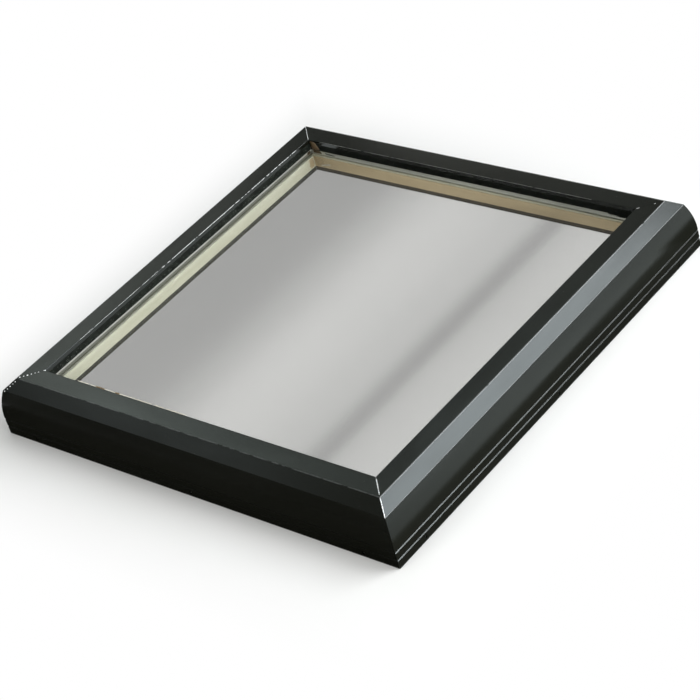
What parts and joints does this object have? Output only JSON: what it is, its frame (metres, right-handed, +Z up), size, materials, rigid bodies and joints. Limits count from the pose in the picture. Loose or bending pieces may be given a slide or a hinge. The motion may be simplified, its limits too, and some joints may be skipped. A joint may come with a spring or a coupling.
{
  "type": "curb mount skylight",
  "caption": "Square fixed curb mount skylight: dark aluminium cap frame with mitred corners and a crowned skirt, over insulating glass on a tan vinyl base frame.",
  "frame": {"origin": "centre of the plan, level with the foot of the skirt", "axes": "+Z up, +X towards the right side and -Y towards the front side; the picture looks from +X and -Y"},
  "size_m": [0.673, 0.673, 0.0825],
  "materials": {
    "cap_finish": "satin dark bronze coating on extruded aluminium",
    "vinyl": "tan rigid vinyl, fine satin",
    "glass": "clear glass with a faint green cast",
    "spacer_metal": "mill finish spacer bar",
    "edge_sealant": "grey black sealant",
    "gasket_rubber": "matt black glazing rubber",
    "glazing_tape": "grey glazing tape",
    "curb_foam": "dark brown closed cell foam",
    "block_rubber": "black rubber",
    "key_metal": "mill finish angle"
  },
  "bodies": {
    "root": {"cap_front": "cap_finish", "base_front": "vinyl", "gasket_front": "gasket_rubber", "spacer_front": "spacer_metal", "tape_front": "glazing_tape", "curb_seal_front": "curb_foam", "corner_key_front": "key_metal", "edge_block_front_a": "block_rubber", "edge_block_front_b": "block_rubber", "cap_right": "cap_finish", "base_right": "vinyl", "gasket_right": "gasket_rubber", "spacer_right": "spacer_metal", "tape_right": "glazing_tape", "curb_seal_right": "curb_foam", "corner_key_right": "key_metal", "edge_block_right_a": "block_rubber", "edge_block_right_b": "block_rubber", "cap_back": "cap_finish", "base_back": "vinyl", "gasket_back": "gasket_rubber", "spacer_back": "spacer_metal", "tape_back": "glazing_tape", "curb_seal_back": "curb_foam", "corner_key_back": "key_metal", "edge_block_back_a": "block_rubber", "edge_block_back_b": "block_rubber", "cap_left": "cap_finish", "base_left": "vinyl", "gasket_left": "gasket_rubber", "spacer_left": "spacer_metal", "tape_left": "glazing_tape", "curb_seal_left": "curb_foam", "corner_key_left": "key_metal", "edge_block_left_a": "block_rubber", "edge_block_left_b": "block_rubber", "glass_outer": "glass", "glass_inner": "glass", "edge_seal": "edge_sealant"}
  },
  "joints": []
}
